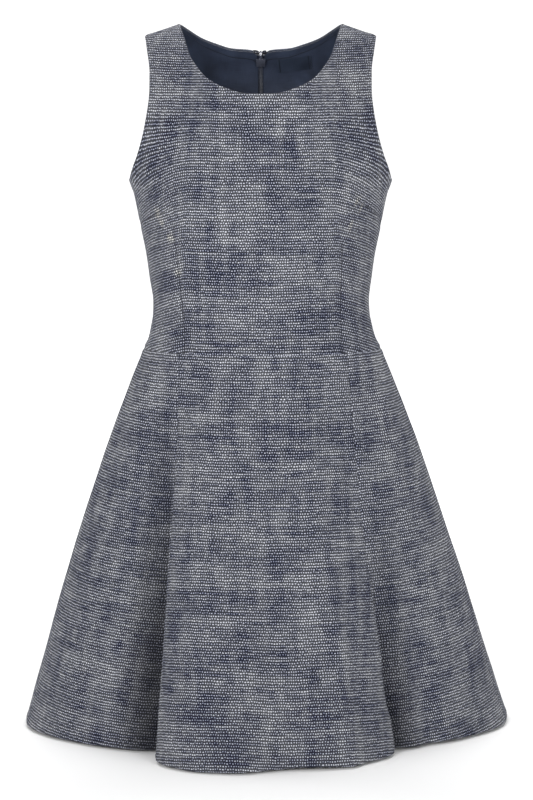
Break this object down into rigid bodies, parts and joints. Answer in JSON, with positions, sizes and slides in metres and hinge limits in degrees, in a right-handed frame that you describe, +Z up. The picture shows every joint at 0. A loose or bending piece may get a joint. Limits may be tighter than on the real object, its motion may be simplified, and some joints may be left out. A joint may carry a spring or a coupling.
{
  "type": "fit and flare dress",
  "caption": "Sleeveless dress with a round neck, a fitted bodice and a flared, gored skirt that hangs in deep soft folds, filled out and hollow as it is when worn, with a zip down its back.",
  "frame": {"origin": "Midway between the two shoulder seams and halfway along their slope, where the wearer's shoulders or a hanger carry the dress.", "axes": "+Z up along the length of the dress, +X towards the wearer's left side, on the right of someone who looks at the front, and the front faces -Y."},
  "size_m": [0.5913, 0.4862, 0.8467],
  "materials": {
    "tweed": "matte slubby navy and off-white tweed",
    "lining": "plain navy lining with a faint sheen",
    "label": "plain woven satin",
    "zip_tape": "matte woven tape",
    "zip_chain": "moulded coil",
    "zip_slider": "dull enamel"
  },
  "bodies": {
    "dress": {"bodice_front": "tweed", "bodice_back_left": "tweed", "bodice_back_right": "tweed", "skirt_side_front_left": "tweed", "skirt_front_centre": "tweed", "skirt_side_front_right": "tweed", "skirt_side_back_right": "tweed", "skirt_centre_back_right": "tweed", "skirt_centre_back_left": "tweed", "skirt_side_back_left": "tweed", "lining_back_left": "lining", "lining_back_right": "lining", "neck_label": "label", "zip_tape_left": "zip_tape", "zip_tape_right": "zip_tape", "zip_chain": "zip_chain", "zip_slider": "zip_slider"},
    "pull_tab": {"zip_pull_tab": "zip_slider"}
  },
  "joints": [
    {"name": "pull_tab_hinge", "type": "hinge", "parent": "dress", "child": "pull_tab", "pos_m": [0, 0.07374, -0.02792], "axis": [1, 0, 0], "range_deg": [0, 170]}
  ]
}
